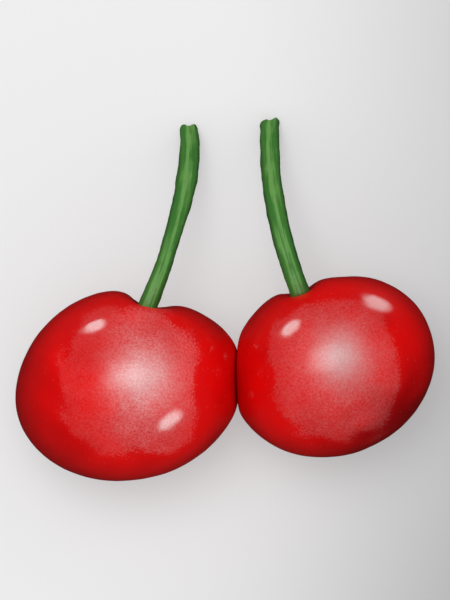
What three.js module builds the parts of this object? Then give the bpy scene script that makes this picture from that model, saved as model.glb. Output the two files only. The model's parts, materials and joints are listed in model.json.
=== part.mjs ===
// Two sweet cherries that lie on a surface, pressed together cheek to cheek, each on its own cut stalk.
// Millimetres, +Z up, the surface at z = 0. +X runs from the left fruit to the right one and +Y towards
// the stalk tips. A bearing is an angle in plan, in degrees from +X towards +Y, and a slope is an angle
// above the horizontal.
import * as THREE from 'three'

const leftFruit = {
  name: 'fruit_left',
  colour: '#c4000a',
  longRadius: 15.7, // half the length of the long axis
  longBearing: 23.3, // where the long axis points
  shortRadius: 12.5, // half the width across the long axis
  uprightRadius: 13, // half the height
  roundness: 1.95, // the exponent of its ellipsoid, 2 for a true one
  shoulderDepth: 3.7, // the flattened shoulder, at its deepest
  shoulderSpread: 55.6, // how wide it is, in degrees seen from the centre
  shoulderBearing: 48.3,
  cavityDepth: 2.9, // the bowl that the stalk stands in
  cavitySpread: 17,
  cavityBearing: 82,
  cavitySlope: 10,
  forward: 0.45, // its centre, measured towards the stalk tips from the middle of the meeting face
  press: 0.66 // how much of its cheek is flattened where the fruits meet
}

const rightFruit = {
  name: 'fruit_right',
  colour: '#b80009',
  longRadius: 13.05,
  longBearing: 21.6,
  shortRadius: 11.25,
  uprightRadius: 11.9,
  roundness: 2,
  shoulderDepth: 0.45,
  shoulderSpread: 19.7,
  shoulderBearing: 89.8,
  cavityDepth: 2.1,
  cavitySpread: 15,
  cavityBearing: 113,
  cavitySlope: 10,
  forward: 1.97,
  press: 1
}

const leftStalk = {
  name: 'stalk_left',
  colour: '#3f7a2c',
  reach: 23.2, // foot to tip, in plan
  bearing: 77.7, // of the tip, seen from the foot
  leaveBearing: 67.5, // the way it leaves the fruit
  tipBearing: 94, // the way its cut end points
  leaveSlope: 2,
  tipSlope: -42,
  footRadius: 1.15,
  waistRadius: 0.98,
  middleRadius: 1.06,
  neckRadius: 1.27,
  tipRadius: 1.08
}

const rightStalk = {
  name: 'stalk_right',
  colour: '#3b7529',
  reach: 22,
  bearing: 100.4,
  leaveBearing: 112,
  tipBearing: 87,
  leaveSlope: 2,
  tipSlope: -40,
  footRadius: 1.25,
  waistRadius: 1.15,
  middleRadius: 1.15,
  neckRadius: 1.22,
  tipRadius: 1.06
}

const meetingLean = 6.4 // the meeting face leans, so that the right fruit lies a little over the left one
const meetingGap = 0.3 // between the two fruits
const meetingRim = 0.15 // how softly the pressed cheeks turn into the round
const restPress = 0.2 // the small flat that each fruit's weight makes where it lies
const seatGap = 0.4 // between a stalk's foot and the skin of its cavity
const footCrown = 0.4 // how far the foot of a stalk is domed
const tipNotchDepth = 0.45 // the cleft torn in a stalk's cut end
const tipNotchWidth = 0.35

const fruitSides = 44
const fruitRows = 30
const rowCrowding = 0.35 // rows close up towards the cavity by this share
const stalkSides = 14
const stalkRows = 22

const up = new THREE.Vector3(0, 0, 1)

function ray(bearing, slope) {
  const level = Math.cos(THREE.MathUtils.degToRad(slope))
  return new THREE.Vector3(
    level * Math.cos(THREE.MathUtils.degToRad(bearing)),
    level * Math.sin(THREE.MathUtils.degToRad(bearing)),
    Math.sin(THREE.MathUtils.degToRad(slope))
  )
}

// One in the middle of a dip, and falling softly to none at about twice its spread.
function dip(direction, middle, spread) {
  const angle = THREE.MathUtils.radToDeg(direction.angleTo(middle))
  return Math.exp(-((angle / spread) ** 2))
}

function cavityAxis(fruit) {
  return ray(fruit.cavityBearing, fruit.cavitySlope)
}

// From the fruit's centre to its skin along a unit direction.
function skinRadius(fruit, direction) {
  const lengthwise = Math.abs(direction.dot(ray(fruit.longBearing, 0))) / fruit.longRadius
  const crosswise = Math.abs(direction.dot(ray(fruit.longBearing + 90, 0))) / fruit.shortRadius
  const upwards = Math.abs(direction.z) / fruit.uprightRadius
  const power = fruit.roundness
  const body = (lengthwise ** power + crosswise ** power + upwards ** power) ** (-1 / power)
  const shoulder = dip(direction, ray(fruit.shoulderBearing, 0), fruit.shoulderSpread)
  const cavity = dip(direction, cavityAxis(fruit), fruit.cavitySpread)
  return body - fruit.shoulderDepth * shoulder - fruit.cavityDepth * cavity
}

function moveVertices(geometry, move) {
  const positions = geometry.attributes.position
  const point = new THREE.Vector3()
  for (let index = 0; index < positions.count; index += 1) {
    point.fromBufferAttribute(positions, index)
    move(point)
    positions.setXYZ(index, point.x, point.y, point.z)
  }
  geometry.computeVertexNormals()
}

// A sphere whose pole stands on the cavity, with every vertex moved out to the skin.
function fruitGeometry(fruit) {
  const geometry = new THREE.SphereGeometry(1, fruitSides, fruitRows)
  const turn = new THREE.Quaternion().setFromUnitVectors(new THREE.Vector3(0, 1, 0), cavityAxis(fruit))
  const spherical = new THREE.Spherical()
  moveVertices(geometry, point => {
    spherical.setFromVector3(point)
    spherical.phi -= rowCrowding * Math.sin(spherical.phi)
    point.setFromSpherical(spherical).applyQuaternion(turn).normalize()
    point.multiplyScalar(skinRadius(fruit, point))
  })
  return geometry
}

// How far a geometry reaches from its own origin along a direction.
function furthest(geometry, direction) {
  const positions = geometry.attributes.position
  const point = new THREE.Vector3()
  let distance = -Infinity
  for (let index = 0; index < positions.count; index += 1) {
    distance = Math.max(distance, point.fromBufferAttribute(positions, index).dot(direction))
  }
  return distance
}

// Flattens what lies past a plane, turning into the round over a soft rim.
function pressCheek(geometry, plane) {
  moveVertices(geometry, point => {
    const past = plane.distanceToPoint(point)
    const push = meetingRim * Math.log1p(Math.exp(past / meetingRim))
    point.addScaledVector(plane.normal, -push)
  })
}

function pressUnderside(geometry) {
  moveVertices(geometry, point => {
    point.z = Math.max(point.z, 0)
  })
}

// Lays both fruits on the surface, side by side against the meeting face, and presses them flat there.
function layFruits() {
  const geometries = [leftFruit, rightFruit].map(fruitGeometry)
  const heights = geometries.map(geometry => furthest(geometry, up.clone().negate()) - restPress)
  const meetingPoint = new THREE.Vector3(0, 0, (heights[0] + heights[1]) / 2)
  const towardsRight = ray(0, meetingLean)
  return [leftFruit, rightFruit].map((fruit, index) => {
    const geometry = geometries[index]
    const outwards = towardsRight.clone().multiplyScalar(index === 0 ? 1 : -1)
    const standOff = furthest(geometry, outwards) - fruit.press
    const centre = new THREE.Vector3(0, fruit.forward, heights[index])
    const lift = (centre.z - meetingPoint.z) * outwards.z
    centre.x = -(standOff + lift) / outwards.x
    geometry.translate(centre.x, centre.y, centre.z)
    const cheek = meetingPoint.clone().addScaledVector(outwards, -meetingGap / 2)
    pressCheek(geometry, new THREE.Plane().setFromNormalAndCoplanarPoint(outwards, cheek))
    pressUnderside(geometry)
    return { fruit, geometry, centre }
  })
}

// The line of a stalk: out of the cavity, over in one bow and down to the surface.
function stalkLine(stalk, foot, tipHeight) {
  const tip = foot.clone().addScaledVector(ray(stalk.bearing, 0), stalk.reach)
  tip.z = tipHeight
  const handle = foot.distanceTo(tip) / 3
  const afterFoot = foot.clone().addScaledVector(ray(stalk.leaveBearing, stalk.leaveSlope), handle)
  const beforeTip = tip.clone().addScaledVector(ray(stalk.tipBearing, stalk.tipSlope), -handle)
  return new THREE.CubicBezierCurve3(foot, afterFoot, beforeTip, tip)
}

// The smallest room between the domed foot of a stalk and the skin of its fruit.
function footRoom(stalk, laid, foot) {
  const forward = ray(stalk.leaveBearing, stalk.leaveSlope)
  const sideways = forward.clone().cross(up).normalize()
  const over = sideways.clone().cross(forward)
  let room = Infinity
  for (let step = 0; step <= stalkSides; step += 1) {
    const angle = (step / stalkSides) * 2 * Math.PI
    const rim = foot.clone().addScaledVector(forward, footCrown).sub(laid.centre)
    rim.addScaledVector(sideways, stalk.footRadius * Math.cos(angle))
    rim.addScaledVector(over, stalk.footRadius * Math.sin(angle))
    const direction = rim.clone().normalize()
    room = Math.min(room, rim.length() - skinRadius(laid.fruit, direction))
  }
  const middle = foot.clone().sub(laid.centre)
  return Math.min(room, middle.length() - skinRadius(laid.fruit, middle.clone().normalize()))
}

// Stands the foot over the cavity and draws it out until it clears the skin by the seat gap.
function seatFoot(stalk, laid) {
  const axis = cavityAxis(laid.fruit)
  const foot = laid.centre.clone().addScaledVector(axis, skinRadius(laid.fruit, axis))
  for (let round = 0; round < 6; round += 1) {
    foot.addScaledVector(axis, seatGap - footRoom(stalk, laid, foot))
  }
  return foot
}

function stalkProfile(stalk, length) {
  const widths = new THREE.SplineCurve([
    new THREE.Vector2(0, stalk.footRadius),
    new THREE.Vector2(0.25, stalk.waistRadius),
    new THREE.Vector2(0.55, stalk.middleRadius),
    new THREE.Vector2(0.8, stalk.neckRadius),
    new THREE.Vector2(1, stalk.tipRadius)
  ])
  const outline = [new THREE.Vector2(0, 0)]
  for (const angle of [25, 50, 72]) {
    const turned = THREE.MathUtils.degToRad(angle)
    const width = stalk.footRadius * Math.sin(turned)
    outline.push(new THREE.Vector2(width, footCrown * (1 - Math.cos(turned))))
  }
  for (let row = 0; row <= stalkRows; row += 1) {
    const share = row / stalkRows
    const width = widths.getPoint(share)
    outline.push(new THREE.Vector2(width.y, footCrown + width.x * (length - footCrown)))
  }
  outline.push(new THREE.Vector2(stalk.tipRadius * 0.5, length))
  outline.push(new THREE.Vector2(0, length))
  return outline
}

// Bends an upright turned piece along a line, keeping its sides level with the surface.
function bendAlong(geometry, line, length) {
  const end = length - 0.001
  moveVertices(geometry, point => {
    const share = THREE.MathUtils.clamp(point.y / length, 0, 1)
    const forward = line.getTangentAt(share)
    const sideways = forward.clone().cross(up).normalize()
    const over = sideways.clone().cross(forward)
    const cleft = point.y > end ? tipNotchDepth * Math.exp(-((point.x / tipNotchWidth) ** 2)) : 0
    const { x, z } = point
    line.getPointAt(share, point)
    point.addScaledVector(sideways, x).addScaledVector(over, z).addScaledVector(forward, -cleft)
  })
}

function stalkGeometry(stalk, laid) {
  const foot = seatFoot(stalk, laid)
  let tipHeight = stalk.tipRadius
  let geometry
  for (let round = 0; round < 4; round += 1) {
    const line = stalkLine(stalk, foot, tipHeight)
    const length = line.getLength()
    geometry = new THREE.LatheGeometry(stalkProfile(stalk, length), stalkSides)
    bendAlong(geometry, line, length)
    tipHeight += furthest(geometry, up.clone().negate()) // until its tip just touches the surface
  }
  return geometry
}

function piece(name, geometry, colour, roughness) {
  const material = new THREE.MeshStandardMaterial({ color: colour, roughness, metalness: 0 })
  const mesh = new THREE.Mesh(geometry, material)
  mesh.name = name
  return mesh
}

const cherries = new THREE.Group()
const laidFruits = layFruits()
laidFruits.forEach((laid, index) => {
  const stalk = [leftStalk, rightStalk][index]
  cherries.add(piece(laid.fruit.name, laid.geometry, laid.fruit.colour, 0.22))
  cherries.add(piece(stalk.name, stalkGeometry(stalk, laid), stalk.colour, 0.55))
})

// The origin goes to the bottom centre of the whole.
const room = new THREE.Box3().setFromObject(cherries, true)
const middle = room.getCenter(new THREE.Vector3())
cherries.position.set(-middle.x, -middle.y, -room.min.z)

export default cherries
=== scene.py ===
# Two sweet cherries that lie cheek to cheek on a pale table, each on its own torn green stalk.
import bpy
import bmesh
import json
import math
from mathutils import Matrix, Vector, noise
from mathutils.geometry import interpolate_bezier

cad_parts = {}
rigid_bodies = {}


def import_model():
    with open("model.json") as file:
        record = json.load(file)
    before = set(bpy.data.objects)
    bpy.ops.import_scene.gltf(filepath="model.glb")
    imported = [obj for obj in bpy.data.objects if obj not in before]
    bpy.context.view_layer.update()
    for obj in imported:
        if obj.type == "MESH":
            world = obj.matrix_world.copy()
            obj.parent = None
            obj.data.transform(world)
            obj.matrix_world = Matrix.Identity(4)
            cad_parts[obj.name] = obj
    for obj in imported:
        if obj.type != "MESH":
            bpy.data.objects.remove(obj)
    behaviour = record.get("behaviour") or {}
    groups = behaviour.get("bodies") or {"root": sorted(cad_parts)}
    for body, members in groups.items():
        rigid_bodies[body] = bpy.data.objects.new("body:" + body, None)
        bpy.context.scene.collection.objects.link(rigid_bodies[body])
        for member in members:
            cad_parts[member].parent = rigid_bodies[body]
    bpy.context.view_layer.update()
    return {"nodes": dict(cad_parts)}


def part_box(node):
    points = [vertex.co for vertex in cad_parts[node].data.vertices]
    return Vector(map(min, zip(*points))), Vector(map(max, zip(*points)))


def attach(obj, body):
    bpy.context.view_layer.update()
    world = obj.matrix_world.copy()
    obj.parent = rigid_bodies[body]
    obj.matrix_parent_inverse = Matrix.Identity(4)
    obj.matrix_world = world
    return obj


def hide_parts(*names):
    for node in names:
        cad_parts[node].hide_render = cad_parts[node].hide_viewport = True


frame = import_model()
print("frame loaded:", sorted(frame["nodes"]))

mm = 0.001  # sizes below are in millimetres and angles in degrees, and the scene is in metres
up = Vector((0, 0, 1))


def ray(bearing, slope=0):
    turned, raised = math.radians(bearing), math.radians(slope)
    level = math.cos(raised)
    return Vector((level * math.cos(turned), level * math.sin(turned), math.sin(raised)))


def dip(direction, middle, spread):
    return math.exp(-(math.degrees(direction.angle(middle)) / spread) ** 2)


def ease(low, high, value):
    share = min(max((value - low) / (high - low), 0), 1)
    return share * share * (3 - 2 * share)


def furthest(points, direction):
    return max(point.dot(direction) for point in points)


def alongCurve(stations, share):  # a smooth value through evenly weighted (share, value) stations
    last = len(stations) - 2
    index = max(i for i in range(last + 1) if share >= stations[i][0] or i == 0)
    before, start = stations[max(index - 1, 0)], stations[index]
    end, after = stations[index + 1], stations[min(index + 2, last + 1)]
    gap = end[0] - start[0]
    t = (share - start[0]) / gap
    slopeIn = (end[1] - before[1]) / max(end[0] - before[0], gap) * gap
    slopeOut = (after[1] - start[1]) / max(after[0] - start[0], gap) * gap
    return ((2 * t**3 - 3 * t**2 + 1) * start[1] + (t**3 - 2 * t**2 + t) * slopeIn
            + (3 * t**2 - 2 * t**3) * end[1] + (t**3 - t**2) * slopeOut)


def finishMesh(bm, name):
    bmesh.ops.recalc_face_normals(bm, faces=bm.faces)
    if bm.calc_volume(signed=True) < 0:  # the recalculation can turn a cleft stalk inside out
        bmesh.ops.reverse_faces(bm, faces=bm.faces)
    mesh = bpy.data.meshes.new(name)
    bm.to_mesh(mesh)
    bm.free()
    mesh.shade_smooth()
    piece = bpy.data.objects.new(name, mesh)
    bpy.context.scene.collection.objects.link(piece)
    return piece


leftFruit = {
    "name": "cherryLeft", "node": "fruit_left", "slot": "cherry_skin_left", "side": -1, "seed": 11,
    "longRadius": 15.7, "longBearing": 23.3, "shortRadius": 12.5, "uprightRadius": 13, "roundness": 1.95,
    "shoulderDepth": 3.7, "shoulderSpread": 55.6, "shoulderBearing": 48.3, "suture": 112,
    "cavityDepth": 2.72, "cavitySpread": 17, "cavityBearing": 82, "cavitySlope": 10, "cavityInwards": 0.9,
    # the pale speckled patch on the top and its haze: pale flecks of the skin, and painted sheen of the light
    # from above
    "bloomAndPaintedSheenAt": (-0.9, -0.5), "bloomAndPaintedSheenSize": (9.3, 10.1), "paintedSheenFrom": (-6.5, 0.5),
    # where the painted highlight sits at the middle of the top
    "paintedHighlightAt": (0.7, 0.1), "paintedHighlightSize": (3.1, 2.8),
    # painted shade darkens one side of the fruit, the side away from the light
    "paintedSheenStrength": 0.29, "pale": (0.7, 0.4, 0.4), "paintedSideShadeBearing": 205, "paintedSideShadeStrength": 0.45, "shade": 1.0,
}
rightFruit = {
    "name": "cherryRight", "node": "fruit_right", "slot": "cherry_skin_right", "side": 1, "seed": 27,
    "longRadius": 13.05, "longBearing": 21.6, "shortRadius": 11.25, "uprightRadius": 11.9, "roundness": 2,
    "shoulderDepth": 0.45, "shoulderSpread": 19.7, "shoulderBearing": 89.8, "suture": 70,
    "cavityDepth": 1.82, "cavitySpread": 15, "cavityBearing": 113, "cavitySlope": 10, "cavityInwards": 0.7,
    # the pale speckled patch on the top and its haze: pale flecks of the skin, and painted sheen of the light
    # from above
    "bloomAndPaintedSheenAt": (0.2, -0.5), "bloomAndPaintedSheenSize": (9, 9.3), "paintedSheenFrom": (-9, -3),
    # where the painted highlight sits at the middle of the top
    "paintedHighlightAt": (0.9, 1.15), "paintedHighlightSize": (2.8, 2.9),
    # painted shade darkens one side of the fruit, the side away from the light
    "paintedSheenStrength": 0.10, "pale": (0.56, 0.41, 0.41), "paintedSideShadeBearing": -42, "paintedSideShadeStrength": 0.9, "shade": 0.92,
}
skinForm = {
    "sides": 176, "rows": 120, "crowding": 0.35,  # crowding draws the rows towards the stalk
    "meetingLean": 6.4, "meetingPress": 0.66, "meetingGap": 0.02, "meetingRim": 0.15, "restPress": 0.2,
    "swell": 0.10, "swellSize": 2.2, "ripple": 0.018, "rippleSize": 9,
    "sutureDepth": 0.13, "sutureWidth": 3.2, "sutureStart": (10, 35),
    "puckerDepth": 0.045, "puckers": 11, "puckerSpread": 16, "puckerStart": (2, 8),
    "puckerStray": 2, "puckerStraySize": 3,
    "cavityRunOut": 2, "cavityOutwards": 0.68,
    "scarDepth": 0.35, "scarSpread": 6, "scarNub": 0.22, "scarNubSpread": 2.2,
}


def cavityAxis(fruit):
    return ray(fruit["cavityBearing"], fruit["cavitySlope"])


def stalkCavity(fruit, u):  # 1 at its middle: steep on its outer side, and running out below
    axis = cavityAxis(fruit)
    offAxis = (u - axis * u.dot(axis)).normalized()
    angle = math.degrees(u.angle(axis))
    across = angle * offAxis.dot(ray(fruit["cavityBearing"] + 90))
    upright = angle * offAxis.z
    towardsOther = across * fruit["side"] > 0
    width = fruit["cavitySpread"] * (fruit["cavityInwards"] if towardsOther else skinForm["cavityOutwards"])
    height = fruit["cavitySpread"] * (skinForm["cavityRunOut"] if upright < 0 else 1)
    return math.exp(-(across / width) ** 2 - (upright / height) ** 2)


def skinRadius(fruit, u):  # from the centre to the smooth skin
    power = fruit["roundness"]
    lengthwise = abs(u.dot(ray(fruit["longBearing"]))) / fruit["longRadius"]
    crosswise = abs(u.dot(ray(fruit["longBearing"] + 90))) / fruit["shortRadius"]
    upwards = abs(u.z) / fruit["uprightRadius"]
    body = (lengthwise**power + crosswise**power + upwards**power) ** (-1 / power)
    shoulder = dip(u, ray(fruit["shoulderBearing"]), fruit["shoulderSpread"])
    return body - fruit["shoulderDepth"] * shoulder - fruit["cavityDepth"] * stalkCavity(fruit, u)


def skinDetail(fruit, u, polar, around):  # what the season leaves on it, in millimetres outwards
    seed = Vector((fruit["seed"], 0, 0))
    swell = skinForm["swell"] * noise.noise(u * skinForm["swellSize"] + seed)
    ripple = skinForm["ripple"] * noise.noise(u * skinForm["rippleSize"] + seed)
    fromStalk = math.degrees(polar)
    pastSuture = around - math.radians(fruit["suture"])
    offLine = math.degrees(math.atan2(math.sin(pastSuture), math.cos(pastSuture)))
    fromLine = offLine * math.sin(polar)
    onSide = ease(*skinForm["sutureStart"], fromStalk) if abs(offLine) < 90 else 0
    suture = skinForm["sutureDepth"] * math.exp(-(fromLine / skinForm["sutureWidth"]) ** 2) * onSide
    fade = math.exp(-(fromStalk / skinForm["puckerSpread"]) ** 2) * ease(*skinForm["puckerStart"], fromStalk)
    stray = skinForm["puckerStray"] * noise.noise(u * skinForm["puckerStraySize"] + seed)
    wave = math.cos(skinForm["puckers"] * around + stray)
    fromTip = 180 - fromStalk
    scar = skinForm["scarDepth"] * math.exp(-(fromTip / skinForm["scarSpread"]) ** 2)
    nub = skinForm["scarNub"] * math.exp(-(fromTip / skinForm["scarNubSpread"]) ** 2)
    return swell + ripple - suture + skinForm["puckerDepth"] * wave * fade - scar + nub


maskForm = {
    "facing": (-2, 4), "wander": 0.16, "wanderSize": 0.3,
    "bloomAndPaintedSheenSquareness": 3, "bloomAndPaintedSheenEdge": (0.72, 1.08), "paintedSheenSpread": 0.55,
    "paintedSideShadeEdge": (0.35, 1.05), "flankUpTo": 0.66, "meetingBand": 2.5,
}


def skinMasks(fruit, away, pastCheek):  # how strongly each change of colour shows at a spot of the skin
    facing = ease(*maskForm["facing"], away.z)
    # the pale speckled patch on the top: pale flecks of the skin, and partly a painted sheen where the light
    # from above falls
    x = (away.x - fruit["bloomAndPaintedSheenAt"][0]) / fruit["bloomAndPaintedSheenSize"][0]
    y = (away.y - fruit["bloomAndPaintedSheenAt"][1]) / fruit["bloomAndPaintedSheenSize"][1]
    wander = maskForm["wander"] * noise.noise(away * maskForm["wanderSize"] + Vector((fruit["seed"], 3, 0)))
    power = maskForm["bloomAndPaintedSheenSquareness"]
    outline = (abs(x)**power + abs(y)**power) ** (1 / power) + wander
    bloomAndPaintedSheen = (1 - ease(*maskForm["bloomAndPaintedSheenEdge"], outline)) * facing
    # a broad pale haze on the top: painted sheen of the light from above
    spread = math.exp(-(x * x + y * y) / maskForm["paintedSheenSpread"])
    paintedSheen = fruit["paintedSheenStrength"] * ease(*fruit["paintedSheenFrom"], away.x) * spread * facing
    # a painted highlight: the bright core on the top where the light from above is mirrored
    x = (away.x - fruit["paintedHighlightAt"][0]) / fruit["paintedHighlightSize"][0]
    y = (away.y - fruit["paintedHighlightAt"][1]) / fruit["paintedHighlightSize"][1]
    paintedHighlight = math.exp(-(x * x + y * y)) * facing
    # painted shade: one side of each fruit is darker, the side that faces away from the light
    sideOn = away.normalized().dot(ray(fruit["paintedSideShadeBearing"]))
    paintedSideShade = ease(*maskForm["paintedSideShadeEdge"], sideOn + wander) * fruit["paintedSideShadeStrength"]
    pressed = ease(-maskForm["meetingBand"], 0, pastCheek)
    # painted shade: the skin darkens where it turns away from the light above, towards the rim
    paintedFlankShade = (1 - ease(0, maskForm["flankUpTo"], away.normalized().z)) * (1 - pressed)
    return {"bloomAndPaintedSheen": bloomAndPaintedSheen, "paintedSheen": paintedSheen, "paintedHighlight": paintedHighlight, "paintedSideShade": paintedSideShade, "paintedFlankShade": paintedFlankShade}


def makeFruit(fruit, neighbour=None):  # a neighbour that is already made says where the cheeks meet
    low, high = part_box(fruit["node"])
    turn = up.rotation_difference(cavityAxis(fruit))
    bm = bmesh.new()
    bmesh.ops.create_uvsphere(bm, u_segments=skinForm["sides"], v_segments=skinForm["rows"], radius=1)
    toStalk = bm.verts.layers.float.new("fromStalk")
    for vert in bm.verts:
        polar = math.acos(min(max(vert.co.z, -1), 1))
        around = math.atan2(vert.co.y, vert.co.x)
        polar -= skinForm["crowding"] * math.sin(polar)
        u = Vector((math.sin(polar) * math.cos(around), math.sin(polar) * math.sin(around), math.cos(polar)))
        u.rotate(turn)
        vert.co = u * (skinRadius(fruit, u) + skinDetail(fruit, u, polar, around)) * mm
        vert[toStalk] = polar / math.pi
    points = [vert.co.copy() for vert in bm.verts]
    outwards = ray(0, skinForm["meetingLean"]) * -fruit["side"]  # towards the other fruit
    standOff = furthest(points, outwards)
    width = furthest(points, Vector((fruit["side"], 0, 0)))
    outer = low.x + width if fruit["side"] < 0 else high.x - width
    centre = Vector((outer, low.y + furthest(points, Vector((0, -1, 0))), 0))
    centre.z = furthest(points, -up) - skinForm["restPress"] * mm
    if neighbour:
        limit = -neighbour["cheek"] - skinForm["meetingGap"] * mm
    else:
        limit = centre.dot(outwards) + standOff - skinForm["meetingPress"] * mm
    rim = skinForm["meetingRim"] * mm
    layers = {mask: bm.verts.layers.float.new(mask) for mask in ("bloomAndPaintedSheen", "paintedSheen", "paintedHighlight", "paintedSideShade", "paintedFlankShade")}
    for vert in bm.verts:
        vert.co += centre
        past = (vert.co.dot(outwards) - limit) / rim
        vert.co -= outwards * rim * math.log1p(math.exp(min(past, 60)))  # 60 keeps the power within reach
        vert.co.z = max(vert.co.z, 0)
        masks = skinMasks(fruit, (vert.co - centre) / mm, past * skinForm["meetingRim"])
        for mask, layer in layers.items():
            vert[layer] = masks[mask]
    piece = finishMesh(bm, fruit["name"])
    fruit["centre"] = centre
    fruit["cheek"] = limit
    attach(piece, "root")
    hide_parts(fruit["node"])
    return piece


leftStalk = {
    "name": "stalkLeft", "node": "stalk_left", "slot": "stalk_green", "fruit": leftFruit, "seed": 5,
    "sunk": -0.2, "footShift": -0.27, "reach": 23.6, "bearing": 76.3, "tipPast": 0.3,
    "leaveBearing": 67.5, "leaveSlope": 2, "tipBearing": 95.5, "tipSlope": -42,
    "widths": [(0, 1.3), (0.05, 1.18), (0.27, 1.05), (0.45, 1.1), (0.62, 1.28), (0.8, 1.31), (0.96, 1.14),
               (1, 1.14)],
    "cleftAt": 0.14, "endSlope": 0,
}
rightStalk = {
    "name": "stalkRight", "node": "stalk_right", "slot": "stalk_green", "fruit": rightFruit, "seed": 19,
    "sunk": -0.35, "footShift": -0.25, "reach": 22.4, "bearing": 99.7, "tipPast": 0.2,
    "leaveBearing": 110, "leaveSlope": 2, "tipBearing": 87, "tipSlope": -40,
    "widths": [(0, 1.38), (0.05, 1.26), (0.27, 1.24), (0.45, 1.27), (0.6, 1.24), (0.8, 1.2), (0.94, 1.2),
               (1, 1.22)],
    "cleftAt": -0.05, "endSlope": -0.25,
}
stalkForm = {
    "sides": 32, "rows": 110, "routeSteps": 400, "startHeight": 1.2, "tries": 3,
    "ribs": 5, "ribHeight": 0.022, "twist": 5.4,
    "knots": 0.11, "knotSize": 0.55, "grain": 0.045, "grainSize": 1.7, "stretch": 22,
    "endInsets": (0.12, 0.22, 0.24, 0.2), "tornWithin": 0.95,
    "cleftFrom": 0.92, "cleftDepth": 0.38, "cleftWidth": 0.32, "tear": 0.16, "tearSize": 2.4,
    "cutRounding": 0.2, "cutSquareness": 10,
}


def stalkRoute(stalk, foot, tip):
    handle = (tip - foot).length / 3
    afterFoot = foot + ray(stalk["leaveBearing"], stalk["leaveSlope"]) * handle
    beforeTip = tip - ray(stalk["tipBearing"], stalk["tipSlope"]) * handle
    points = interpolate_bezier(foot, afterFoot, beforeTip, tip, stalkForm["routeSteps"])
    lengths = [0]
    for here, there in zip(points, points[1:]):
        lengths.append(lengths[-1] + (there - here).length)
    return points, lengths


def onRoute(route, share):
    points, lengths = route
    wanted = min(max(share, 0), 1) * lengths[-1]
    low, high = 0, len(lengths) - 1
    while high - low > 1:
        middle = (low + high) // 2
        if lengths[middle] <= wanted:
            low = middle
        else:
            high = middle
    between = (wanted - lengths[low]) / (lengths[high] - lengths[low])
    forward = (points[high] - points[low]).normalized()
    return points[low].lerp(points[high], between), forward


def bendStalk(bm, stalk, foot, tip, straight):
    route = stalkRoute(stalk, foot, tip)
    seed = Vector((stalk["seed"], 0, 0))
    for vert, (share, across, over) in zip(bm.verts, straight):
        place, forward = onRoute(route, share)
        sideways = forward.cross(up).normalized()
        above = sideways.cross(forward)
        turned = stalkForm["twist"] * share
        spot = Vector((across, over, share * stalkForm["stretch"]))
        radius = alongCurve(stalk["widths"], share)
        radius += stalkForm["ribHeight"] * math.cos(stalkForm["ribs"] * math.atan2(over, across) + turned)
        radius += stalkForm["knots"] * noise.noise(spot * stalkForm["knotSize"] + seed)
        radius += stalkForm["grain"] * noise.noise(spot * stalkForm["grainSize"] + seed)
        vert.co = place + (sideways * across + above * over) * radius * mm
        toEnd = ease(stalkForm["cleftFrom"], 1, share)
        if toEnd:
            offCleft = across - stalk["cleftAt"]
            cleft = stalkForm["cleftDepth"] * math.exp(-(offCleft / stalkForm["cleftWidth"]) ** 2)
            slope = stalk["endSlope"] * across
            tear = stalkForm["tear"] * noise.noise(Vector((across, over, 0)) * stalkForm["tearSize"] + seed)
            rounding = stalkForm["cutRounding"] * max(abs(across), abs(over)) ** stalkForm["cutSquareness"]
            vert.co -= forward * (cleft + slope + tear + rounding) * toEnd * mm


def makeStalk(stalk):
    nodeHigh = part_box(stalk["node"])[1]
    fruit = stalk["fruit"]
    axis = cavityAxis(fruit)
    foot = fruit["centre"] + axis * (skinRadius(fruit, axis) - stalk["sunk"]) * mm
    foot.x += stalk["footShift"] * mm
    bm = bmesh.new()
    bmesh.ops.create_cone(bm, cap_ends=True, segments=stalkForm["sides"], radius1=1, radius2=1, depth=1)
    bmesh.ops.translate(bm, vec=(0, 0, 0.5), verts=bm.verts)
    lengthwise = [edge for edge in bm.edges if abs(edge.verts[0].co.z - edge.verts[1].co.z) > 0.5]
    bmesh.ops.subdivide_edges(bm, edges=lengthwise, cuts=stalkForm["rows"], use_grid_fill=True)
    ends = [face for face in bm.faces if abs(face.normal.z) > 0.9]
    for inset in stalkForm["endInsets"]:
        bmesh.ops.inset_region(bm, faces=ends, thickness=inset, use_even_offset=True)
    bmesh.ops.poke(bm, faces=ends)
    crown = bm.verts.layers.float.new("crown")
    along = bm.verts.layers.float.new("along")
    side = bm.verts.layers.float.new("side")
    torn = bm.verts.layers.float.new("torn")
    bm.verts.ensure_lookup_table()
    straight = []  # each point's share of the length, and how far it lies across and over
    for vert in bm.verts:
        straight.append((vert.co.z, vert.co.x, -vert.co.y))
        vert[crown] = -vert.co.y
        vert[along] = vert.co.z
        vert[side] = vert.co.x
        inEnd = vert.co.z > 0.9999 and math.hypot(vert.co.x, vert.co.y) < stalkForm["tornWithin"]
        vert[torn] = 1 if inEnd else 0
    tip = foot + ray(stalk["bearing"]) * stalk["reach"] * mm
    tip.z = stalkForm["startHeight"] * mm
    for attempt in range(stalkForm["tries"]):  # each brings the tip nearer to the table and to its reach
        bendStalk(bm, stalk, foot, tip, straight)
        tip.z -= min(vert.co.z for vert in bm.verts)
        tip.y += nodeHigh.y + stalk["tipPast"] * mm - max(vert.co.y for vert in bm.verts)
    bendStalk(bm, stalk, foot, tip, straight)
    piece = finishMesh(bm, stalk["name"])
    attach(piece, "root")
    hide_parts(stalk["node"])
    return piece


def newMaterial(name):
    material = bpy.data.materials.new(name)
    material.use_nodes = True
    nodes = material.node_tree.nodes
    return material, nodes, material.node_tree.links, nodes["Principled BSDF"]


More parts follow.
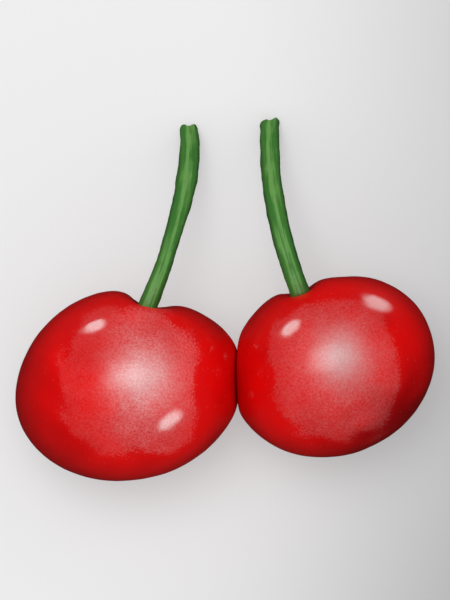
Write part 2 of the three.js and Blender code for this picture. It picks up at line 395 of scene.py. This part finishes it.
def addNoise(nodes, links, where, scale, detail=2.0, rough=0.5):
    texture = nodes.new("ShaderNodeTexNoise")
    texture.inputs["Scale"].default_value = scale
    texture.inputs["Detail"].default_value = detail
    texture.inputs["Roughness"].default_value = rough
    links.new(where, texture.inputs["Vector"])
    return texture.outputs["Fac"]


def addRange(nodes, links, value, fromLow, fromHigh, toLow=0.0, toHigh=1.0, smooth=True):
    node = nodes.new("ShaderNodeMapRange")
    node.interpolation_type = "SMOOTHSTEP" if smooth else "LINEAR"
    numbers = (fromLow, fromHigh, toLow, toHigh)
    for socket, number in zip(("From Min", "From Max", "To Min", "To Max"), numbers):
        node.inputs[socket].default_value = number
    links.new(value, node.inputs["Value"])
    return node.outputs["Result"]


def addMath(nodes, links, kind, first, second):
    node = nodes.new("ShaderNodeMath")
    node.operation = kind
    for socket, value in zip(node.inputs, (first, second)):
        if isinstance(value, (int, float)):
            socket.default_value = value
        else:
            links.new(value, socket)
    return node.outputs["Value"]


def addMix(nodes, links, share, first, second):
    node = nodes.new("ShaderNodeMix")
    node.data_type = "RGBA"
    links.new(share, node.inputs[0])
    for socket, value in ((node.inputs[6], first), (node.inputs[7], second)):
        if isinstance(value, tuple):
            socket.default_value = (*value, 1)
        else:
            links.new(value, socket)
    return node.outputs[2]


def addAttribute(nodes, name):
    node = nodes.new("ShaderNodeAttribute")
    node.attribute_name = name
    return node.outputs["Fac"]


def addBump(nodes, links, skin, height, strength, depth):
    bump = nodes.new("ShaderNodeBump")
    bump.inputs["Strength"].default_value = strength
    bump.inputs["Distance"].default_value = depth * mm
    links.new(height, bump.inputs["Height"])
    links.new(bump.outputs["Normal"], skin.inputs["Normal"])


skinLook = {  # a noise has its scale, detail and roughness, and a range the values it goes from and to
    "red": (0.68, 0.0012, 0.0012), "deepRed": (0.56, 0.0008, 0.001), "paintedSideShadeRed": (0.16, 0.0, 0.0008),
    "scar": (0.16, 0.075, 0.03), "scarRange": (0.972, 0.992), "flankShade": 0.58,
    "cloudNoise": (120, 3), "cloudRange": (0.35, 0.68),
    "grainNoise": (3600, 3, 0.75), "raggedness": 1.4, "coverRange": (1.05, 1.47),
    "grainRange": (0.32, 0.68, 0.3, 1.7), "paintedHighlightGrainRange": (0.3, 0.7, 0.88, 1.12),
    "patchNoise": (330, 3, 0.6), "patchRange": (0.3, 0.7, 0.75, 1.25),
    "poreScale": 1000, "poreRange": (0.17, 0.07, 0, 0.035),
    "edgeAmount": 0.045, "paintedHighlightAmount": 0.62,
    "roughRange": (0.3, 0.7, 0.42, 0.5), "specular": 0.02, "specularTint": (1, 0.85, 0.85),
    "coat": 0.25, "coatRoughness": 0.1, "coatIor": 1.8,
    "peelNoise": (1500, 2), "peel": 0.04, "peelDepth": 0.1,
}


def skinMaterial(name, fruit):
    material, nodes, links, skin = newMaterial(name)
    place = nodes.new("ShaderNodeTexCoord").outputs["Object"]
    clouds = addNoise(nodes, links, place, *skinLook["cloudNoise"])
    cloud = addRange(nodes, links, clouds, *skinLook["cloudRange"])
    darker = tuple(part * fruit["shade"] for part in skinLook["deepRed"])
    lighter = tuple(part * fruit["shade"] for part in skinLook["red"])
    colour = addMix(nodes, links, cloud, lighter, darker)
    # painted shade towards the rim of each fruit
    shaded = tuple(part * skinLook["flankShade"] for part in skinLook["deepRed"])
    colour = addMix(nodes, links, addAttribute(nodes, "paintedFlankShade"), colour, shaded)
    # painted shade on the side that faces away from the light
    colour = addMix(nodes, links, addAttribute(nodes, "paintedSideShade"), colour, skinLook["paintedSideShadeRed"])
    grain = addNoise(nodes, links, place, *skinLook["grainNoise"])
    patches = addNoise(nodes, links, place, *skinLook["patchNoise"])
    # the speckled patch on the top turns towards the pale colour: pale flecks, and painted sheen of the light
    # from above
    ragged = addMath(nodes, links, "MULTIPLY_ADD", grain, skinLook["raggedness"])
    links.new(addAttribute(nodes, "bloomAndPaintedSheen"), ragged.node.inputs[2])
    cover = addRange(nodes, links, ragged, *skinLook["coverRange"])
    amount = addMath(nodes, links, "ADD", addAttribute(nodes, "paintedSheen"), skinLook["edgeAmount"])
    amount = addMath(nodes, links, "MULTIPLY", amount, cover)
    grainy = addRange(nodes, links, grain, *skinLook["grainRange"], False)
    patchy = addRange(nodes, links, patches, *skinLook["patchRange"])
    amount = addMath(nodes, links, "MULTIPLY", amount, addMath(nodes, links, "MULTIPLY", grainy, patchy))
    # the painted highlight at the middle of the top, grainy like the speckle
    paintedHighlight = addMath(nodes, links, "MULTIPLY", addAttribute(nodes, "paintedHighlight"), skinLook["paintedHighlightAmount"])
    paintedHighlightGrain = addRange(nodes, links, grain, *skinLook["paintedHighlightGrainRange"], False)
    paintedHighlight = addMath(nodes, links, "MULTIPLY", paintedHighlight, paintedHighlightGrain)
    amount = addMath(nodes, links, "ADD", amount, paintedHighlight)
    pores = nodes.new("ShaderNodeTexVoronoi")
    pores.inputs["Scale"].default_value = skinLook["poreScale"]
    links.new(place, pores.inputs["Vector"])
    pore = addRange(nodes, links, pores.outputs["Distance"], *skinLook["poreRange"])
    amount = addMath(nodes, links, "ADD", amount, pore)
    # the pale colour stands for the pale flecks and pores, and for the painted sheen and painted highlight on
    # the top
    colour = addMix(nodes, links, amount, colour, fruit["pale"])
    scar = addRange(nodes, links, addAttribute(nodes, "fromStalk"), *skinLook["scarRange"])
    colour = addMix(nodes, links, scar, colour, skinLook["scar"])
    links.new(colour, skin.inputs["Base Color"])
    links.new(addRange(nodes, links, grain, *skinLook["roughRange"]), skin.inputs["Roughness"])
    skin.inputs["Specular IOR Level"].default_value = skinLook["specular"]
    skin.inputs["Specular Tint"].default_value = (*skinLook["specularTint"], 1)
    skin.inputs["Coat Weight"].default_value = skinLook["coat"]
    skin.inputs["Coat Roughness"].default_value = skinLook["coatRoughness"]
    skin.inputs["Coat IOR"].default_value = skinLook["coatIor"]
    peel = addNoise(nodes, links, place, *skinLook["peelNoise"])
    addBump(nodes, links, skin, peel, skinLook["peel"], skinLook["peelDepth"])
    return material


stalkLook = {
    # green on the top and dark green on the sides and underside are painted light and shade, and the pale
    # line is a painted highlight along the top
    "green": (0.034, 0.165, 0.02), "darkGreen": (0.018, 0.085, 0.014), "line": (0.12, 0.30, 0.065),
    "olive": (0.07, 0.19, 0.022), "brown": (0.09, 0.075, 0.02), "heart": (0.16, 0.17, 0.06),
    "fibreNoise": (1500, 3, 0.6), "blotchNoise": (330, 3), "streakNoise": (3.2, 3, 0.55),
    "blotching": 0.35, "greenRange": (0.35, 0.95), "oliveRange": (0.5, 0.66, 0, 0.6),
    "lineRange": (1.5, 1.74, 0, 0.9), "spotRange": (0.56, 0.74, 0, 0.35), "footRange": (0, 0.035, 0.55, 0),
    "roughRange": (0.3, 0.7, 0.42, 0.6), "specular": 0.3, "fibreBump": 0.35, "fibreDepth": 0.1,
}


def stalkMaterial():
    material, nodes, links, skin = newMaterial("stalkGreen")
    place = nodes.new("ShaderNodeTexCoord").outputs["Object"]
    crown = addAttribute(nodes, "crown")
    along = addAttribute(nodes, "along")
    fibre = addNoise(nodes, links, place, *stalkLook["fibreNoise"])
    blotch = addNoise(nodes, links, place, *stalkLook["blotchNoise"])
    drawn = nodes.new("ShaderNodeCombineXYZ")  # a place on the stalk, so that streaks run along it
    for axis, value in zip("XYZ", (addAttribute(nodes, "side"), crown, along)):
        links.new(value, drawn.inputs[axis])
    streak = addNoise(nodes, links, drawn.outputs["Vector"], *stalkLook["streakNoise"])
    # painted light and shade: the top of the stalk lighter green and its sides and underside darker green,
    # broken up by blotches
    paintedLightAndBlotches = addMath(nodes, links, "MULTIPLY", blotch, stalkLook["blotching"])
    paintedLightAndBlotches = addMath(nodes, links, "ADD", crown, paintedLightAndBlotches)
    lighter = addRange(nodes, links, paintedLightAndBlotches, *stalkLook["greenRange"])
    colour = addMix(nodes, links, lighter, stalkLook["darkGreen"], stalkLook["green"])
    olive = addRange(nodes, links, streak, *stalkLook["oliveRange"])
    colour = addMix(nodes, links, olive, colour, stalkLook["olive"])
    # painted highlight: a pale stripe along the top of the stalk
    line = addRange(nodes, links, addMath(nodes, links, "ADD", paintedLightAndBlotches, streak), *stalkLook["lineRange"])
    colour = addMix(nodes, links, line, colour, stalkLook["line"])
    spots = addRange(nodes, links, fibre, *stalkLook["spotRange"])
    colour = addMix(nodes, links, spots, colour, stalkLook["brown"])
    foot = addRange(nodes, links, along, *stalkLook["footRange"])
    colour = addMix(nodes, links, foot, colour, stalkLook["brown"])
    colour = addMix(nodes, links, addAttribute(nodes, "torn"), colour, stalkLook["heart"])
    links.new(colour, skin.inputs["Base Color"])
    links.new(addRange(nodes, links, fibre, *stalkLook["roughRange"]), skin.inputs["Roughness"])
    skin.inputs["Specular IOR Level"].default_value = stalkLook["specular"]
    addBump(nodes, links, skin, fibre, stalkLook["fibreBump"], stalkLook["fibreDepth"])
    return material


stageLook = {  # a painted shade has its start, its end and how much it darkens
    "floorSize": 8000, "paper": (0.78, 0.78, 0.785), "roughness": 0.9, "specular": 0.05,
    "rightPaintedShade": (-4, 52, 0.36), "cornerPaintedShade": (10, 70, 0.36),
    "evenFrom": 42, "evenBy": 230,  # how far from the middle the painted shades weaken, and where they are gone
    "inGloss": 0.03, "fromBelow": 0.4,
}


def makeFloor():
    bm = bmesh.new()
    bmesh.ops.create_grid(bm, x_segments=2, y_segments=2, size=stageLook["floorSize"] / 2 * mm)
    floor = finishMesh(bm, "tableTop")
    material, nodes, links, face = newMaterial("paleTable")
    place = nodes.new("ShaderNodeTexCoord").outputs["Object"]
    axes = nodes.new("ShaderNodeSeparateXYZ")
    links.new(place, axes.inputs["Vector"])
    # painted shade on the paper: darker towards the right and towards the front right corner
    near, far, loss = stageLook["rightPaintedShade"]
    toRight = addRange(nodes, links, axes.outputs["X"], near * mm, far * mm, 1, 1 - loss)
    near, far, loss = stageLook["cornerPaintedShade"]
    slantwise = addMath(nodes, links, "SUBTRACT", axes.outputs["X"], axes.outputs["Y"])
    slantwise = addMath(nodes, links, "MULTIPLY", slantwise, math.sqrt(0.5))
    toCorner = addRange(nodes, links, slantwise, near * mm, far * mm, 1, 1 - loss)
    paperPaintedShade = addMath(nodes, links, "MULTIPLY", toRight, toCorner)
    fromOrigin = nodes.new("ShaderNodeVectorMath")
    fromOrigin.operation = "LENGTH"
    links.new(place, fromOrigin.inputs[0])
    shaded = addRange(nodes, links, fromOrigin.outputs["Value"],
                      stageLook["evenFrom"] * mm, stageLook["evenBy"] * mm, 1, 0)
    loss = addMath(nodes, links, "MULTIPLY", addMath(nodes, links, "SUBTRACT", 1, paperPaintedShade), shaded)
    paperPaintedShade = addMath(nodes, links, "SUBTRACT", 1, loss)
    mirroredRay = nodes.new("ShaderNodeLightPath").outputs["Is Glossy Ray"]
    inGloss = addRange(nodes, links, mirroredRay, 0, 1, 1, stageLook["inGloss"], False)
    paperPaintedShade = addMath(nodes, links, "MULTIPLY", paperPaintedShade, inGloss)
    lit = stageLook["fromBelow"]  # the table gives this share of its light itself, so shadows stay pale
    colours = [tuple(part * share for part in stageLook["paper"]) for share in (1 - lit, 1)]
    links.new(addMix(nodes, links, paperPaintedShade, (0, 0, 0), colours[0]), face.inputs["Base Color"])
    links.new(addMix(nodes, links, paperPaintedShade, (0, 0, 0), colours[1]), face.inputs["Emission Color"])
    face.inputs["Emission Strength"].default_value = lit
    face.inputs["Roughness"].default_value = stageLook["roughness"]
    face.inputs["Specular IOR Level"].default_value = stageLook["specular"]
    floor.data.materials.append(material)


def areaLight(name, width, height, power, feather):
    lamp = bpy.data.lights.new(name, "AREA")
    lamp.shape = "RECTANGLE"
    lamp.size, lamp.size_y = width, height
    lamp.energy = power
    light = bpy.data.objects.new(name, lamp)
    bpy.context.scene.collection.objects.link(light)
    light.visible_camera = False
    lamp.use_nodes = True
    nodes, links = lamp.node_tree.nodes, lamp.node_tree.links
    across = nodes.new("ShaderNodeSeparateXYZ")
    links.new(nodes.new("ShaderNodeNewGeometry").outputs["Parametric"], across.inputs["Vector"])
    narrow = min(width, height)
    spot = nodes.new("ShaderNodeCombineXYZ")  # from the middle line of a bar with round ends
    for axis, size in (("X", width), ("Y", height)):
        fromMiddle = addMath(nodes, links, "SUBTRACT", across.outputs[axis], 0.5)
        fromMiddle = addMath(nodes, links, "ABSOLUTE", fromMiddle, 0)
        fromMiddle = addMath(nodes, links, "MULTIPLY", fromMiddle, size / narrow)
        fromLine = addMath(nodes, links, "SUBTRACT", fromMiddle, (size / narrow - 1) / 2)
        links.new(addMath(nodes, links, "MAXIMUM", fromLine, 0), spot.inputs[axis])
    reach = nodes.new("ShaderNodeVectorMath")
    reach.operation = "LENGTH"
    links.new(spot.outputs["Vector"], reach.inputs[0])
    fade = addRange(nodes, links, reach.outputs["Value"], 0.5, 0.5 - feather)  # 0.5 is the bar's edge
    links.new(fade, nodes["Emission"].inputs["Strength"])
    return light


glintForm = {"colour": (0.62, 1, 1), "feather": 0.32, "halvings": 30, "slopeStep": 0.05}
glints = [
    {"name": "glintLeftUpper", "fruit": leftFruit, "at": (-5.5, 6.45), "length": 3.6, "width": 2.15,
     "tilt": 38, "distance": 160, "power": 4.6},
    {"name": "glintLeftLower", "fruit": leftFruit, "at": (4.1, -5.4), "length": 4.3, "width": 2.15,
     "tilt": 37, "distance": 160, "power": 4.6},
    {"name": "glintRightUpper", "fruit": rightFruit, "at": (-5.35, 4.65), "length": 3.5, "width": 2.05,
     "tilt": 57, "distance": 160, "power": 4.6},
    {"name": "glintRightEdge", "fruit": rightFruit, "at": (5.5, 7.8), "length": 5.3, "width": 2.25,
     "tilt": -24, "distance": 30, "power": 3.2},
]


def skinHeight(fruit, x, y):  # how high the smooth skin stands above the fruit's centre at a spot of the plan
    low, high = 0, 2 * fruit["longRadius"]
    for halving in range(glintForm["halvings"]):
        middle = (low + high) / 2
        place = Vector((x, y, middle))
        if place.length < skinRadius(fruit, place.normalized()):
            low = middle
        else:
            high = middle
    return low


def mirrored(fruit, x, y):  # where a look straight down at the skin is thrown to
    step = glintForm["slopeStep"]
    here = skinHeight(fruit, x, y)
    slopeX = (skinHeight(fruit, x + step, y) - skinHeight(fruit, x - step, y)) / (2 * step)
    slopeY = (skinHeight(fruit, x, y + step) - skinHeight(fruit, x, y - step)) / (2 * step)
    normal = Vector((-slopeX, -slopeY, 1)).normalized()
    down = -up
    return fruit["centre"] + Vector((x, y, here)) * mm, down - 2 * down.dot(normal) * normal


def glintLight(glint):  # a strip light that the skin mirrors as one small capsule
    fruit = glint["fruit"]
    x, y = glint["at"]
    point, away = mirrored(fruit, x, y)
    reach = glint["distance"] * mm
    ends = []
    for turn, size in ((0, glint["length"]), (90, glint["width"])):
        offset = ray(glint["tilt"] + turn) * size / 2
        first, firstRay = mirrored(fruit, x - offset.x, y - offset.y)
        second, secondRay = mirrored(fruit, x + offset.x, y + offset.y)
        ends.append(second + secondRay * reach - first - firstRay * reach)
    long = (ends[0] - away * ends[0].dot(away)).normalized()
    wide = away.cross(long)
    length, width = abs(ends[0].dot(long)), abs(ends[1].dot(wide))
    power = glint["power"] * length * width * 4 * math.pi
    light = areaLight(glint["name"], length, width, power, glintForm["feather"])
    light.data.color = glintForm["colour"]
    light.matrix_world = Matrix((long, wide, away)).transposed().to_4x4()
    light.location = point + away * reach
    light.visible_diffuse = False
    lit = bpy.data.collections.new(glint["name"] + "On")
    lit.objects.link(bpy.data.objects[fruit["name"]])
    light.light_linking.receiver_collection = lit
    return light


roomLook = {"diffuse": 0.79, "glossy": 0.015, "pastTable": 0.725}


def makeRoom():  # an even white room, which is dim in reflections and a little dimmer past the table
    world = bpy.data.worlds.new("studio")
    bpy.context.scene.world = world
    world.use_nodes = True
    nodes, links = world.node_tree.nodes, world.node_tree.links
    room = nodes["Background"]
    room.inputs["Color"].default_value = (1, 1, 1, 1)
    rays = nodes.new("ShaderNodeLightPath")
    light = addRange(nodes, links, rays.outputs["Is Glossy Ray"], 0, 1,
                     roomLook["diffuse"], roomLook["glossy"])
    seenLess = addMath(nodes, links, "MULTIPLY", rays.outputs["Is Camera Ray"],
                       roomLook["diffuse"] - roomLook["pastTable"])
    links.new(addMath(nodes, links, "SUBTRACT", light, seenLess), room.inputs["Strength"])


softboxForm = {"size": 750, "power": 9.5, "feather": 0.4, "at": (-120, 140, 800)}


def makeSoftbox():
    size = softboxForm["size"] * mm
    softbox = areaLight("overheadSoftbox", size, size, softboxForm["power"], softboxForm["feather"])
    softbox.location = [part * mm for part in softboxForm["at"]]
    softbox.rotation_mode = "QUATERNION"
    softbox.rotation_quaternion = (-softbox.location).to_track_quat("-Z", "Y")


cameraForm = {"lens": 1000, "sensor": 36, "frameHeight": 75, "eyeLevel": 12.5, "x": -0.02, "y": -0.06,
              "near": 10, "far": 10000}


def makeCamera():  # so far up that the fruits look as they do on a plan
    data = bpy.data.cameras.new("camera")
    data.lens = cameraForm["lens"]
    data.sensor_width = cameraForm["sensor"]
    data.clip_start, data.clip_end = cameraForm["near"] * mm, cameraForm["far"] * mm
    camera = bpy.data.objects.new("camera", data)
    height = cameraForm["eyeLevel"] * mm + cameraForm["frameHeight"] * mm * data.lens / data.sensor_width
    camera.location = (cameraForm["x"] * mm, cameraForm["y"] * mm, height)
    bpy.context.scene.collection.objects.link(camera)
    bpy.context.scene.camera = camera


makeRoom()
makeSoftbox()
makeCamera()
bpy.context.scene.view_settings.view_transform = "Standard"
makeFloor()
print("room, softbox, camera and table made")

skins = {
    leftFruit["name"]: skinMaterial("cherrySkinLeft", leftFruit),
    rightFruit["name"]: skinMaterial("cherrySkinRight", rightFruit),
}
for fruit, neighbour in ((leftFruit, None), (rightFruit, leftFruit)):
    piece = makeFruit(fruit, neighbour)
    piece.data.materials.append(skins[fruit["name"]])
    print(fruit["name"], "made, centre", [round(part / mm, 2) for part in fruit["centre"]])
greenStalk = stalkMaterial()
for stalk in (leftStalk, rightStalk):
    piece = makeStalk(stalk)
    piece.data.materials.append(greenStalk)
    print(stalk["name"], "made")
for glint in glints:
    light = glintLight(glint)
    print(light.name, [round(part / mm) for part in light.location])
